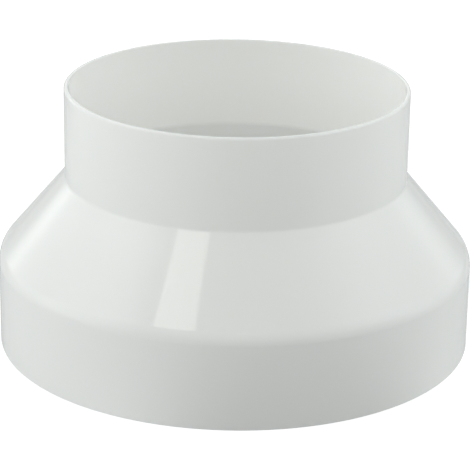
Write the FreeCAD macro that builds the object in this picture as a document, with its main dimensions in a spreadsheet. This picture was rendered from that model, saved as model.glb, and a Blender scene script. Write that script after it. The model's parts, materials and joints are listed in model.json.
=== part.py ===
# Round duct reducer, moulded in one piece: a wide socket below, a taper, and a narrow spigot on top.
# The socket slips over a 150 mm round duct, which stops where the wall turns inwards to the taper.
# A 110 mm round hose or sleeve slips over the spigot and stops against the outside of the taper.
# The part stands on the open rim of its socket. The origin is at the middle of that rim, +Z is up.

import FreeCAD, Part
import Sketcher

import math
import os

SHELL_NAME = "reducer_shell"
OUTPUT_FOLDER = "parts"

# Millimetres and degrees. Other parts meet the socket bore and the spigot diameter.
# The straight heights run up to the blends, and the taper's angle is measured from level.
DIMENSIONS = {
    "socket_bore": 150.4,
    "socket_straight": 27.0,
    "spigot_diameter": 110.0,
    "spigot_straight": 29.0,
    "taper_angle": 50.0,
    "shoulder_radius": 6.7,
    "neck_radius": 1.2,
    "wall_thickness": 1.3,
    "lead_in_radius": 0.8,
    "rim_chamfer": 0.25,
}

SAME_PLACE = 1e-4
SKETCH_ORIGIN = (-1, 1)
START, END = 1, 2
FULL_TURN = 360


class OutsideForm:
    """Sizes of the outside outline that follow from the sheet: radii, and heights above the socket rim."""

    def __init__(self, sheet):
        self.wall = sheet.wall_thickness
        self.socket_radius = sheet.socket_bore / 2 + self.wall
        self.spigot_radius = sheet.spigot_diameter / 2
        self.shoulder_radius = sheet.shoulder_radius
        self.neck_radius = sheet.neck_radius
        self.turn = math.radians(90 - sheet.taper_angle)

        inset = (self.shoulder_radius + self.neck_radius) * (1 - math.cos(self.turn))
        taper_run = self.socket_radius - self.spigot_radius - inset
        self.shoulder_start = sheet.socket_straight
        self.shoulder_end = self.shoulder_start + self.shoulder_radius * math.sin(self.turn)
        self.neck_start = self.shoulder_end + taper_run / math.tan(self.turn)
        self.neck_end = self.neck_start + self.neck_radius * math.sin(self.turn)
        self.top = self.neck_end + sheet.spigot_straight


def add_sheet(doc):
    """Write the driving dimensions to a spreadsheet, each beside its name, which is also its alias."""
    sheet = doc.addObject("Spreadsheet::Sheet", "Dimensions")
    for row, (name, value) in enumerate(DIMENSIONS.items(), start=1):
        sheet.set(f"A{row}", name)
        sheet.set(f"B{row}", str(value))
        sheet.setAlias(f"B{row}", name)
    doc.recompute()
    return sheet


def arc_about(centre, radius, first_angle, last_angle):
    """A sketch arc that runs anticlockwise between two angles, in radians."""
    circle = Part.Circle(centre, FreeCAD.Vector(0, 0, 1), radius)
    return Part.ArcOfCircle(circle, first_angle, last_angle)


def draw_outline(body, form):
    """Sketch half of the outside outline on the body's own upright plane and bind it to the sheet."""
    upright_plane = next(item for item in body.Origin.OriginFeatures if item.Role == "XZ_Plane")
    sketch = body.newObject("Sketcher::SketchObject", "outline")
    sketch.AttachmentSupport = (upright_plane, [""])
    sketch.MapMode = "FlatFace"

    def point(across, up):
        return FreeCAD.Vector(across, up, 0)

    shoulder_centre = point(form.socket_radius - form.shoulder_radius, form.shoulder_start)
    neck_centre = point(form.spigot_radius + form.neck_radius, form.neck_end)
    shoulder_arc = arc_about(shoulder_centre, form.shoulder_radius, 0, form.turn)
    neck_arc = arc_about(neck_centre, form.neck_radius, math.pi, math.pi + form.turn)

    middle_foot, socket_foot = point(0, 0), point(form.socket_radius, 0)
    middle_top, spigot_top = point(0, form.top), point(form.spigot_radius, form.top)
    pieces = [
        Part.LineSegment(middle_foot, socket_foot),
        Part.LineSegment(socket_foot, shoulder_arc.StartPoint),
        shoulder_arc,
        Part.LineSegment(shoulder_arc.EndPoint, neck_arc.EndPoint),
        neck_arc,
        Part.LineSegment(neck_arc.StartPoint, spigot_top),
        Part.LineSegment(spigot_top, middle_top),
        Part.LineSegment(middle_top, middle_foot),
    ]
    foot, socket, shoulder, taper, neck, spigot, top, middle = sketch.addGeometry(pieces, False)

    def hold(kind, *places):
        return sketch.addConstraint(Sketcher.Constraint(kind, *places))

    hold("Coincident", foot, START, *SKETCH_ORIGIN)
    hold("Coincident", foot, END, socket, START)
    hold("Tangent", socket, END, shoulder, START)
    hold("Tangent", shoulder, END, taper, START)
    hold("Tangent", taper, END, neck, END)
    hold("Tangent", neck, START, spigot, START)
    hold("Coincident", spigot, END, top, START)
    hold("Coincident", top, END, middle, START)
    hold("Coincident", middle, END, foot, START)
    for level_side in (foot, top):
        hold("Horizontal", level_side)
    for upright_side in (socket, spigot, middle):
        hold("Vertical", upright_side)

    sizes = {
        "socket_radius": hold("DistanceX", foot, START, foot, END, form.socket_radius),
        "spigot_radius": hold("DistanceX", top, END, top, START, form.spigot_radius),
        "socket_straight": hold("DistanceY", socket, START, socket, END, form.shoulder_start),
        "spigot_straight": hold("DistanceY", spigot, START, spigot, END, form.top - form.neck_end),
        "shoulder_radius": hold("Radius", shoulder, form.shoulder_radius),
        "neck_radius": hold("Radius", neck, form.neck_radius),
        "taper_lean": hold("Angle", taper, math.pi / 2 + form.turn),
    }
    formulas = {
        "socket_radius": "Dimensions.socket_bore / 2 + Dimensions.wall_thickness",
        "spigot_radius": "Dimensions.spigot_diameter / 2",
        "taper_lean": "180 - Dimensions.taper_angle",
    }
    for name, index in sizes.items():
        sketch.renameConstraint(index, name)
        sketch.setExpression(f"Constraints.{name}", formulas.get(name, f"Dimensions.{name}"))
    return sketch


def turn_outline(body, sketch):
    """Turn the outline into a solid plug of the reducer's outside form."""
    plug = body.newObject("PartDesign::Revolution", "outside_form")
    plug.Profile = sketch
    plug.ReferenceAxis = (sketch, ["V_Axis"])
    plug.Angle = FULL_TURN
    return plug


def hollow_out(doc, body):
    """Leave one even wall inside the plug, open at both flat ends."""
    doc.recompute()
    plug = body.Tip
    ends = [
        f"Face{number}"
        for number, face in enumerate(plug.Shape.Faces, start=1)
        if isinstance(face.Surface, Part.Plane)
    ]
    hollow = body.newObject("PartDesign::Thickness", "even_wall")
    hollow.Base = (plug, ends)
    hollow.setExpression("Value", "Dimensions.wall_thickness")
    hollow.Reversed = True
    return hollow


def ring_edge(shape, radius, height):
    """Name of the round edge with this radius that lies level at this height."""
    for number, edge in enumerate(shape.Edges, start=1):
        curve = edge.Curve
        if not isinstance(curve, Part.Circle):
            continue
        if abs(curve.Radius - radius) < SAME_PLACE and abs(curve.Center.z - height) < SAME_PLACE:
            return f"Edge{number}"
    raise RuntimeError(f"no round edge of radius {radius} at height {height}")


def trim_rims(doc, body, kind, name, rings, size_property, size_name):
    """Fillet or chamfer the edges given by radius and height, at one size of the sheet."""
    doc.recompute()
    base = body.Tip
    trim = body.newObject(kind, name)
    trim.Base = (base, [ring_edge(base.Shape, radius, height) for radius, height in rings])
    trim.setExpression(size_property, f"Dimensions.{size_name}")
    return trim


def build_shell(doc, form):
    """The whole reducer: plug with its blends, even wall, rounded spigot lead-in and bevelled rims."""
    body = doc.addObject("PartDesign::Body", SHELL_NAME)
    body.Label = SHELL_NAME
    body.Placement = FreeCAD.Placement()

    turn_outline(body, draw_outline(body, form))
    hollow_out(doc, body)
    lead_in = [(form.spigot_radius, form.top)]
    trim_rims(doc, body, "PartDesign::Fillet", "spigot_lead_in", lead_in, "Radius", "lead_in_radius")
    other_rims = [
        (form.spigot_radius - form.wall, form.top),
        (form.socket_radius - form.wall, 0),
        (form.socket_radius, 0),
    ]
    trim_rims(doc, body, "PartDesign::Chamfer", "bevelled_rims", other_rims, "Size", "rim_chamfer")
    doc.recompute()
    return body


def check_document(doc):
    """Stop if any object of the document failed to build."""
    failed = [item.Name for item in doc.Objects if {"Invalid", "Error"} & set(item.State)]
    if failed:
        raise RuntimeError(f"these objects failed to build: {failed}")


def check_shell(shape, form):
    """Stop unless the shell is one valid hollow solid of the stated height and width."""
    if shape.isNull() or not shape.isValid() or len(shape.Solids) != 1:
        raise RuntimeError("the shell is not one valid solid")
    box = shape.optimalBoundingBox(False, False)
    if abs(box.ZLength - form.top) > SAME_PLACE or abs(box.XLength - 2 * form.socket_radius) > SAME_PLACE:
        raise RuntimeError(f"the shell's box is {box}")
    plug_volume = math.pi * form.spigot_radius**2 * form.top
    if shape.Volume > plug_volume or shape.isInside(FreeCAD.Vector(0, 0, form.top / 2), SAME_PLACE, True):
        raise RuntimeError("the shell is not hollow")


def main():
    doc = FreeCAD.newDocument("DuctReducer")
    form = OutsideForm(add_sheet(doc))
    shell = build_shell(doc, form)
    check_document(doc)
    check_shell(shell.Shape, form)
    os.makedirs(OUTPUT_FOLDER, exist_ok=True)
    shell.Shape.exportStep(os.path.join(OUTPUT_FOLDER, f"{shell.Label}.step"))
    print(f"{shell.Label}: {form.top:.2f} mm high, {shell.Shape.Volume:.0f} cubic mm")


main()
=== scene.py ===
import json
import math

import bpy
from bpy.props import FloatProperty, FloatVectorProperty, IntProperty, PointerProperty
from mathutils import Matrix, Vector


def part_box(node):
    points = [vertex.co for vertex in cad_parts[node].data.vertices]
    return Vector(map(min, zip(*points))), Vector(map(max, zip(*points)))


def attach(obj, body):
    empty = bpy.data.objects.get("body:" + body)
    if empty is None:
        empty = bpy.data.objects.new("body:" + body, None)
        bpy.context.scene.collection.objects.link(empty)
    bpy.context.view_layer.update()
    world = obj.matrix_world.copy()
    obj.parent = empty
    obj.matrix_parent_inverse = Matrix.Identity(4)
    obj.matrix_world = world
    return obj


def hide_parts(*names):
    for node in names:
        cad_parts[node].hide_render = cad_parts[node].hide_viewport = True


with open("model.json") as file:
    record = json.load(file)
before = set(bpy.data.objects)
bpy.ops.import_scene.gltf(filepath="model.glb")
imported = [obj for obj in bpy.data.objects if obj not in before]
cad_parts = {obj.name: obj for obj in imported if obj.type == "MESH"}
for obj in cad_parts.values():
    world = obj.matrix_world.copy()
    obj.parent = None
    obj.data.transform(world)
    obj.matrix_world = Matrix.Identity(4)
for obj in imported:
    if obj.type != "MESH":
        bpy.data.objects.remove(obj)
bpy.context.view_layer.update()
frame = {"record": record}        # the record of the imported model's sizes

bl_info = {
    "name": "Duct Reducer",
    "version": (1, 0, 0),
    "blender": (4, 5, 0),
    "location": "3D View > Sidebar > Duct Reducer",
    "description": "Models a moulded white duct reducer and the studio that it stands in",
    "category": "Add Mesh",
}

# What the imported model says. The shell stands at the origin and fills its box from side to side.
MM = 0.001
SHELL_NODE = "reducer_shell"
BODY = "root"
shell_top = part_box(SHELL_NODE)[1]
mount_sizes = {mount["name"]: mount["dims"] for mount in frame["record"]["mounts"]}
bore_radius = mount_sizes["duct_socket"]["r_mm"] * MM
spigot_radius = mount_sizes["hose_spigot"]["r_mm"] * MM

# The steps that round each blend and rim, and the distances under which points count as one place.
SHOULDER_STEPS = 14
NECK_STEPS = 6
LEAD_IN_STEPS = 6
RIM_STEPS = 3
SAME_PLACE = 0.01 * MM
MERGE_DISTANCE = 0.001 * MM

# Scale and detail of the plastic's noises.
CLOUDS = (28, 3)
GLOSS_PATCHES = (90, 2)
SLOW_RIPPLE = (60, 1)
FINE_GRAIN = (2200, 2)

# The camera stands in front of the object and looks down on it. Metres, degrees, and millimetres of lens.
CAMERA_PLACE = (0.0, -0.6592, 0.2809)
CAMERA_DOWN = 20.563
CAMERA_ROLL = 0.883
CAMERA_LENS = 165.66
CAMERA_SENSOR = 36.0

# How the studio's light lies round the object, in degrees. A turn is from the camera's side, left being
# minus, and a rise is above level. Width and height are halves, and a blur is half of the fade at an edge.
ROOM = {
    "camera": {"turn": 8, "width": 62, "blur": 17},
    "low": {"turn": 12, "width": 73, "blur": 14, "top": 7, "top_blur": 6},
    "back": {"turn": 180, "width": 38, "blur": 14, "top": 8, "top_blur": 9},
    "ceiling": {"top": 56, "top_blur": 14},
    "floor_front": {"turn": 16, "width": 30, "blur": 17},
    "floor_back": {"turn": 180, "width": 59, "blur": 11},
}

# The large soft lights at the sides, and the narrow ones behind that brighten the object's edges.
SOFT_LIGHTS = {
    "left": {"turn": -82, "rise": 21, "width": 19, "height": 33, "blur": 11},
    "right": {"turn": 75, "rise": 23, "width": 26, "height": 23, "blur": 15},
    "left_rim": {"turn": -141, "rise": 25, "width": 8.5, "height": 19, "blur": 4},
    "right_rim": {"turn": 133, "rise": 18, "width": 4, "height": 11, "blur": 6},
}

# The strip softbox stands on the left in front of the object, and leans over it.
STRIP_AIM = Vector((0, 0, 0.04))
STRIP_TURN = -36.2
STRIP_RISE = 55
STRIP_DISTANCE = 1.6
STRIP_SIZE = (0.42, 0.6)

# The floor and the sheet under it, in metres: their size, how far the sheet lies below, and the distances
# from the object's middle over which the sheet's light goes from near to far, and into its back shade.
FLOOR_SIZE = 8.0
BOUNCE_DEPTH = 0.2 * MM
FLOOR_CHANGE = (0.1, 0.6)
FLOOR_BACK_FADE = (0.19, 0.45)


def length(name, description, default):
    """A length property, in metres."""
    return FloatProperty(
        name=name,
        description=description,
        default=default,
        min=0,
        precision=5,
        subtype="DISTANCE",
        unit="LENGTH",
    )


def share(name, description, default):
    """A property from 0 to 1."""
    return FloatProperty(name=name, description=description, default=default, min=0, max=1, subtype="FACTOR")


def tint(name, description, default):
    """A colour property, in scene-linear values."""
    return FloatVectorProperty(
        name=name, description=description, default=default, min=0, max=1, size=3, subtype="COLOR"
    )


def strength(name, description, default):
    """A property for how bright something is."""
    return FloatProperty(name=name, description=description, default=default, min=0)


class ReducerSizes(bpy.types.PropertyGroup):
    """Sizes of the moulded shell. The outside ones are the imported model's own."""

    socket_radius: length("Socket radius", "Outside radius of the wide socket", shell_top.x)
    spigot_radius: length("Spigot radius", "Outside radius of the narrow spigot", spigot_radius)
    height: length("Height", "From the socket's rim to the spigot's rim", shell_top.z)
    wall: length("Wall", "Thickness of the wall, the same all over", shell_top.x - bore_radius)
    socket_straight: length("Socket straight", "Height of the socket's wall below the shoulder", 27 * MM)
    shoulder_radius: length("Shoulder radius", "Blend from the socket to the taper", 6.7 * MM)
    neck_radius: length("Neck radius", "Blend from the taper to the spigot", 1.2 * MM)
    lead_in: length("Lead-in", "Rounding of the spigot's outer rim", 0.8 * MM)
    rim_radius: length("Rim radius", "Rounding of the other rims", 0.25 * MM)
    taper_angle: FloatProperty(
        name="Taper angle",
        description="Angle of the taper from level",
        default=math.radians(50),
        subtype="ANGLE",
        unit="ROTATION",
    )
    sides: IntProperty(name="Sides", description="Facets round the shell", default=256, min=32)


class PlasticFinish(bpy.types.PropertyGroup):
    """Finish of the white plastic."""

    colour: tint("Colour", "Main colour of the plastic", (0.925, 0.922, 0.9))
    cloud_colour: tint("Cloud colour", "Slightly duller colour of the faint clouds", (0.91, 0.907, 0.884))
    roughness: share("Roughness", "How much the gloss is blurred", 0.06)
    roughness_change: share("Roughness change", "How much the roughness differs from place to place", 0.03)
    waviness: length("Waviness", "Height of the slow ripple in the surface", 0.004 * MM)
    grain: length("Grain", "Height of the fine grain in the surface", 0.0004 * MM)
    translucency: share("Translucency", "How much light passes into the plastic and out again", 0.6)


class StudioLight(bpy.types.PropertyGroup):
    """How bright the lights, the room and the floor are. 1 shows as white."""

    left_light: strength("Left light", "What the large soft light on the left adds to the walls", 0.67)
    right_light: strength("Right light", "What the large soft light on the right adds to the walls", 0.62)
    left_rim_light: strength("Left rim light", "What the narrow light behind on the left adds", 0.58)
    right_rim_light: strength("Right rim light", "What the narrow light behind on the right adds", 0.21)
    strip_light: strength("Strip light", "Brightness of the softbox that shows as a strip on the taper", 1.86)
    room_brightness: strength("Room", "Brightness of the pale walls round the object", 1.11)
    camera_shade: strength("Shade behind camera", "What the walls lose behind the camera", 0.33)
    low_shade: strength("Low shade", "What the walls lose near the ground behind the camera", 0.98)
    back_shade: strength("Back shade", "What the walls lose near the ground behind the object", 0.8)
    near_floor: strength("Near floor", "Light that comes up from the floor beside the object", 0.58)
    far_floor: strength("Far floor", "Light that comes up from the floor further off", 0.95)
    floor_front_shade: strength("Floor shade in front", "What the floor loses in front of the object", 0.33)
    floor_back_shade: strength("Floor shade at the back", "What the floor loses well behind the object", 0.43)
    under_floor: strength("Floor inside", "Light that comes up from the floor inside the socket", 0.51)
    light_colour: tint("Light colour", "Colour of the room's light", (0.965, 1.0, 1.0))
    strip_colour: tint("Strip colour", "Colour of the strip softbox", (1.0, 0.97, 0.93))
    floor_colour: tint("Floor colour", "Colour of the pale floor", (0.4, 0.4, 0.4))
    floor_glow: strength("Floor glow", "How white the floor is where no light falls on it", 0.8)


class Signal:
    """One output in a shader tree. Arithmetic on it adds Math nodes, and node() adds any other kind."""

    def __init__(self, tree, socket=None):
        self.tree = tree
        self.socket = socket

    def node(self, kind, settings=None, inputs=None, output=0):
        """Add a node, set it up, fill its inputs with values or signals, and return one of its outputs."""
        made = self.tree.nodes.new(kind)
        for name, value in (settings or {}).items():
            setattr(made, name, value)
        for name, value in (inputs or {}).items():
            if isinstance(value, Signal):
                self.tree.links.new(value.socket, made.inputs[name])
            else:
                made.inputs[name].default_value = value
        return Signal(self.tree, made.outputs[output] if made.outputs else None)

    def maths(self, operation, first, second):
        return self.node("ShaderNodeMath", {"operation": operation}, {0: first, 1: second})

    def __add__(self, other):
        return self.maths("ADD", self, other)

    def __radd__(self, other):
        return self.maths("ADD", other, self)

    def __sub__(self, other):
        return self.maths("SUBTRACT", self, other)

    def __rsub__(self, other):
        return self.maths("SUBTRACT", other, self)

    def __mul__(self, other):
        return self.maths("MULTIPLY", self, other)

    def __rmul__(self, other):
        return self.maths("MULTIPLY", other, self)


def rgba(colour):
    """A colour with full alpha, as sockets take it."""
    return (*colour, 1.0)


def between(signal, low, high):
    """Rises smoothly from 0 to 1 as a signal goes from low to high."""
    inputs = {"Value": signal, "From Min": low, "From Max": high}
    return signal.node("ShaderNodeMapRange", {"interpolation_type": "SMOOTHSTEP"}, inputs)


def new_tree(owner):
    """Empty the shader tree of a material or world, and return it as a signal to build on."""
    owner.use_nodes = True
    owner.node_tree.nodes.clear()
    return Signal(owner.node_tree)


def white_plastic(finish):
    """Glossy moulded plastic: faint clouds of tone, uneven gloss, a slow ripple and a fine grain."""
    material = bpy.data.materials.new("glossy_white_plastic")
    tree = new_tree(material)
    place = tree.node("ShaderNodeTexCoord", output="Object")

    def noise(scale, detail):
        inputs = {"Vector": place, "Scale": scale, "Detail": detail, "Roughness": 0.5}
        return tree.node("ShaderNodeTexNoise", inputs=inputs, output="Fac")

    colour = tree.node(
        "ShaderNodeMix",
        {"data_type": "RGBA"},
        {"Factor": noise(*CLOUDS), 6: rgba(finish.colour), 7: rgba(finish.cloud_colour)},
        output=2,
    )
    gloss = finish.roughness + finish.roughness_change * (noise(*GLOSS_PATCHES) - 0.5)
    ripple = noise(*SLOW_RIPPLE) * finish.waviness + noise(*FINE_GRAIN) * finish.grain
    surface = tree.node("ShaderNodeBump", inputs={"Height": ripple, "Strength": 1.0, "Distance": 1.0})
    shader = tree.node(
        "ShaderNodeBsdfPrincipled",
        {"subsurface_method": "RANDOM_WALK"},
        {
            "Base Color": colour,
            "Roughness": gloss,
            "Normal": surface,
            "IOR": 1.5,
            "Subsurface Weight": finish.translucency,
            "Subsurface Radius": (1.0, 0.95, 0.9),
            "Subsurface Scale": 1.2 * MM,
        },
    )
    tree.node("ShaderNodeOutputMaterial", inputs={"Surface": shader})
    return material


def pale_floor(studio):
    """Matt floor, plain apart from its colour. It glows a little, so that it shows as white."""
    material = bpy.data.materials.new("pale_floor")
    tree = new_tree(material)
    shader = tree.node(
        "ShaderNodeBsdfPrincipled",
        inputs={
            "Base Color": rgba(studio.floor_colour),
            "Roughness": 0.9,
            "Specular IOR Level": 0.1,
            "Emission Color": (1, 1, 1, 1),
            "Emission Strength": studio.floor_glow,
        },
    )
    tree.node("ShaderNodeOutputMaterial", inputs={"Surface": shader})
    material.cycles.emission_sampling = "NONE"
    return material


def bearing(place):
    """Turn of a place or direction about the object, in radians: 0 towards the camera, plus to the right."""
    right = place.node("ShaderNodeSeparateXYZ", inputs={0: place}, output="X")
    back = place.node("ShaderNodeSeparateXYZ", inputs={0: place}, output="Y")
    return place.maths("ARCTAN2", right, 0 - back)


def within(angle, middle, half_width, blur):
    """1 where an angle is within half_width of the middle, fading to 0 over twice the blur. In degrees."""
    off = angle.maths("PINGPONG", angle - math.radians(middle), math.pi)
    return between(math.radians(half_width) - off, -math.radians(blur), math.radians(blur))


def sector(turn, place):
    """1 within the turns that a table row gives."""
    return within(turn, place["turn"], place["width"], place["blur"])


def band(rise, place):
    """1 within the heights that a table row gives."""
    return within(rise, place["rise"], place["height"], place["blur"])


def below(rise, place):
    """1 below the top that a table row gives, 0 above it."""
    low, high = place["top"] - place["top_blur"], place["top"] + place["top_blur"]
    return 1 - between(rise, math.radians(low), math.radians(high))


def room_light(studio):
    """Pale walls under a dark ceiling, darker behind the camera and low at the back, and the soft lights."""
    world = bpy.data.worlds.new("studio_room")
    bpy.context.scene.world = world
    tree = new_tree(world)
    direction = tree.node("ShaderNodeTexCoord", output="Generated")
    up = direction.node("ShaderNodeSeparateXYZ", inputs={0: direction}, output="Z")
    rise = up.maths("ARCSINE", up, 0)
    turn = bearing(direction)
    walls = (
        studio.room_brightness
        - studio.camera_shade * sector(turn, ROOM["camera"])
        - studio.low_shade * sector(turn, ROOM["low"]) * below(rise, ROOM["low"])
        - studio.back_shade * sector(turn, ROOM["back"]) * below(rise, ROOM["back"])
    )
    glow = tree.maths("MAXIMUM", walls, 0) * below(rise, ROOM["ceiling"])
    for name, place in SOFT_LIGHTS.items():
        glow = glow + getattr(studio, name + "_light") * sector(turn, place) * band(rise, place)
    light = tree.node("ShaderNodeBackground", inputs={"Color": rgba(studio.light_colour), "Strength": glow})
    tree.node("ShaderNodeOutputWorld", inputs={"Surface": light})


def floor_bounce(studio):
    """Light that the floor throws back: less in front, inside the object and well behind it."""
    material = bpy.data.materials.new("floor_bounce")
    tree = new_tree(material)
    place = tree.node("ShaderNodeTexCoord", output="Object")
    reach = tree.node("ShaderNodeVectorMath", {"operation": "LENGTH"}, {0: place}, output="Value")
    turn = bearing(place)
    outside = (
        studio.near_floor
        + (studio.far_floor - studio.near_floor) * between(reach, *FLOOR_CHANGE)
        - studio.floor_front_shade * sector(turn, ROOM["floor_front"])
        - studio.floor_back_shade * sector(turn, ROOM["floor_back"]) * between(reach, *FLOOR_BACK_FADE)
    )
    under = tree.maths("LESS_THAN", reach, shell_top.x)
    glow = outside * (1 - under) + studio.under_floor * under
    light = tree.node("ShaderNodeEmission", inputs={"Color": rgba(studio.light_colour), "Strength": glow})
    tree.node("ShaderNodeOutputMaterial", inputs={"Surface": light})
    material.cycles.emission_sampling = "NONE"
    return material


def clear_selection():
    """Leave edit mode and select nothing."""
    if bpy.context.mode != "OBJECT":
        bpy.ops.object.mode_set(mode="OBJECT")
    bpy.ops.object.select_all(action="DESELECT")


def select_ring(piece, radius, height):
    """In edit mode, select only the edges of one ring, by radius and height."""
    bpy.ops.mesh.select_all(action="DESELECT")
    bpy.ops.object.mode_set(mode="OBJECT")
    mesh = piece.data
    on_ring = [
        abs(vertex.co.z - height) < SAME_PLACE and abs(vertex.co.xy.length - radius) < SAME_PLACE
        for vertex in mesh.vertices
    ]
    for edge in mesh.edges:
        edge.select = all(on_ring[corner] for corner in edge.vertices)
    bpy.ops.object.mode_set(mode="EDIT")


def raise_wall(sizes):
    """Extrude a ring upwards into the outside wall, with sharp corners at the shoulder and the neck."""
    turn = math.pi / 2 - sizes.taper_angle
    shoulder = sizes.socket_straight + sizes.shoulder_radius * math.tan(turn / 2)
    neck = shoulder + (sizes.socket_radius - sizes.spigot_radius) / math.tan(turn)
    corners = [
        (sizes.socket_radius, 0.0),
        (sizes.socket_radius, shoulder),
        (sizes.spigot_radius, neck),
        (sizes.spigot_radius, sizes.height),
    ]
    clear_selection()
    radius, height = corners[0]
    origin = (0, 0, 0)
    bpy.ops.mesh.primitive_circle_add(
        vertices=sizes.sides, radius=radius, fill_type="NOTHING", location=origin
    )
    shell = bpy.context.object
    shell.name = shell.data.name = "moulded_shell"
    bpy.ops.object.mode_set(mode="EDIT")
    bpy.ops.mesh.select_mode(type="EDGE")
    bpy.ops.mesh.select_all(action="SELECT")
    for new_radius, new_height in corners[1:]:
        bpy.ops.mesh.extrude_region_move(TRANSFORM_OT_translate={"value": (0, 0, new_height - height)})
        grow = new_radius / radius
        bpy.ops.transform.resize(value=(grow, grow, 1), center_override=origin)
        radius, height = new_radius, new_height
    for (ring_radius, ring_height), blend, steps in (
        (corners[1], sizes.shoulder_radius, SHOULDER_STEPS),
        (corners[2], sizes.neck_radius, NECK_STEPS),
    ):
        select_ring(shell, ring_radius, ring_height)
        reach = blend * math.tan(turn / 2)
        bpy.ops.mesh.bevel(offset=reach, segments=steps, profile=0.5, clamp_overlap=False)
    bpy.ops.object.mode_set(mode="OBJECT")
    return shell


def apply_modifier(piece, kind, **settings):
    """Add a modifier with these settings and apply it."""
    modifier = piece.modifiers.new(kind.lower(), kind)
    for name, value in settings.items():
        setattr(modifier, name, value)
    bpy.ops.object.modifier_apply(modifier=modifier.name)


def thicken_wall(shell, sizes):
    """Give the wall its thickness inwards, and round the four rims."""
    apply_modifier(shell, "SOLIDIFY", thickness=sizes.wall, offset=-1, use_even_offset=True, use_rim=True)
    bpy.ops.object.mode_set(mode="EDIT")
    bpy.ops.mesh.select_mode(type="EDGE")
    bpy.ops.mesh.select_all(action="SELECT")
    bpy.ops.mesh.remove_doubles(threshold=MERGE_DISTANCE)
    bpy.ops.mesh.normals_make_consistent(inside=False)
    for ring_radius, ring_height, rounding, steps in (
        (sizes.spigot_radius, sizes.height, sizes.lead_in, LEAD_IN_STEPS),
        (sizes.spigot_radius - sizes.wall, sizes.height, sizes.rim_radius, RIM_STEPS),
        (sizes.socket_radius, 0.0, sizes.rim_radius, RIM_STEPS),
        (sizes.socket_radius - sizes.wall, 0.0, sizes.rim_radius, RIM_STEPS),
    ):
        select_ring(shell, ring_radius, ring_height)
        bpy.ops.mesh.bevel(offset=rounding, segments=steps, profile=0.5, clamp_overlap=False)
    bpy.ops.object.mode_set(mode="OBJECT")
    bpy.ops.object.shade_smooth()
    apply_modifier(shell, "WEIGHTED_NORMAL", mode="FACE_AREA", weight=100, keep_sharp=True)


class ReducerShellAdd(bpy.types.Operator):
    """Model the reducer's one moulded shell, in its plastic"""

    bl_idname = "mesh.reducer_shell_add"
    bl_label = "Moulded Shell"
    bl_options = {"REGISTER", "UNDO"}

    def execute(self, context):
        sizes = context.scene.reducer_sizes
        shell = raise_wall(sizes)
        thicken_wall(shell, sizes)
        shell.data.materials.append(white_plastic(context.scene.reducer_finish))
        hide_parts(SHELL_NODE)
        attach(shell, BODY)
        return {"FINISHED"}


def add_camera():
    """Add the camera, turned down and slightly rolled, and make it the scene's own."""
    clear_selection()
    bpy.ops.object.camera_add(location=CAMERA_PLACE)
    camera = bpy.context.object
    camera.name = "camera"
    tilt = Matrix.Rotation(math.radians(90 - CAMERA_DOWN), 4, "X")
    roll = Matrix.Rotation(math.radians(CAMERA_ROLL), 4, "Z")
    camera.rotation_euler = (tilt @ roll).to_euler()
    camera.data.sensor_width = CAMERA_SENSOR
    camera.data.lens = CAMERA_LENS
    bpy.context.scene.camera = camera


def add_sheet(name, material, height):
    """Add a large level sheet, which is part of the stage and not of the object."""
    clear_selection()
    bpy.ops.mesh.primitive_plane_add(size=FLOOR_SIZE, location=(0, 0, height))
    sheet = bpy.context.object
    sheet.name = name
    sheet.data.materials.append(material)
    return sheet


def add_floor(studio):
    """Add the floor that the camera sees, and just below it the sheet whose light the object gets."""
    floor = add_sheet("studio_floor", pale_floor(studio), 0)
    bounce = add_sheet("floor_bounce", floor_bounce(studio), -BOUNCE_DEPTH)
    for seen_only in ("visible_diffuse", "visible_glossy", "visible_transmission", "visible_shadow"):
        setattr(floor, seen_only, False)
    bounce.visible_camera = False


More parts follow.
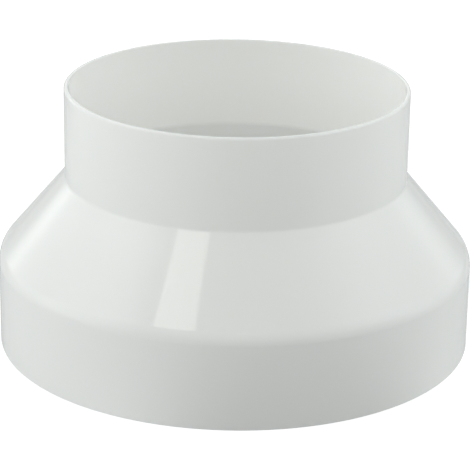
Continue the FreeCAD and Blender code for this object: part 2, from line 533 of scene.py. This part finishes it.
def add_strip_softbox(studio):
    """Add an area lamp that faces the object. Its power is four times its brightness times its area."""
    turn, rise = math.radians(STRIP_TURN), math.radians(STRIP_RISE)
    away = Vector((math.sin(turn) * math.cos(rise), -math.cos(turn) * math.cos(rise), math.sin(rise)))
    clear_selection()
    bpy.ops.object.light_add(type="AREA", location=STRIP_AIM + away * STRIP_DISTANCE)
    lamp = bpy.context.object
    lamp.name = "strip_softbox"
    lamp.data.shape = "RECTANGLE"
    lamp.data.size, lamp.data.size_y = STRIP_SIZE
    lamp.data.energy = 4 * studio.strip_light * lamp.data.size * lamp.data.size_y
    lamp.data.color = studio.strip_colour
    lamp.rotation_euler = (-away).to_track_quat("-Z", "Y").to_euler()
    lamp.visible_camera = False


class ReducerStudioAdd(bpy.types.Operator):
    """Add the pale floor, the lights and the camera"""

    bl_idname = "scene.reducer_studio_add"
    bl_label = "Studio"
    bl_options = {"REGISTER", "UNDO"}

    def execute(self, context):
        studio = context.scene.reducer_studio
        add_floor(studio)
        add_strip_softbox(studio)
        room_light(studio)
        add_camera()
        context.scene.view_settings.view_transform = "Standard"
        return {"FINISHED"}


class ReducerPanel(bpy.types.Panel):
    """Lists the reducer's sizes, finish and studio, and the steps that make them"""

    bl_idname = "VIEW3D_PT_duct_reducer"
    bl_label = "Duct Reducer"
    bl_space_type = "VIEW_3D"
    bl_region_type = "UI"
    bl_category = "Duct Reducer"

    def draw(self, context):
        scene = context.scene
        for group, operator in (
            (scene.reducer_sizes, None),
            (scene.reducer_finish, ReducerShellAdd.bl_idname),
            (scene.reducer_studio, ReducerStudioAdd.bl_idname),
        ):
            column = self.layout.column()
            for name in type(group).__annotations__:
                column.prop(group, name)
            if operator:
                column.operator(operator)


CLASSES = (ReducerSizes, PlasticFinish, StudioLight, ReducerShellAdd, ReducerStudioAdd, ReducerPanel)
GROUPS = {"reducer_sizes": ReducerSizes, "reducer_finish": PlasticFinish, "reducer_studio": StudioLight}


def register():
    for made in CLASSES:
        bpy.utils.register_class(made)
    for name, group in GROUPS.items():
        setattr(bpy.types.Scene, name, PointerProperty(type=group))


def unregister():
    for name in GROUPS:
        delattr(bpy.types.Scene, name)
    for made in reversed(CLASSES):
        bpy.utils.unregister_class(made)


def main():
    register()
    bpy.ops.mesh.reducer_shell_add()
    bpy.ops.scene.reducer_studio_add()


if __name__ == "__main__":
    main()
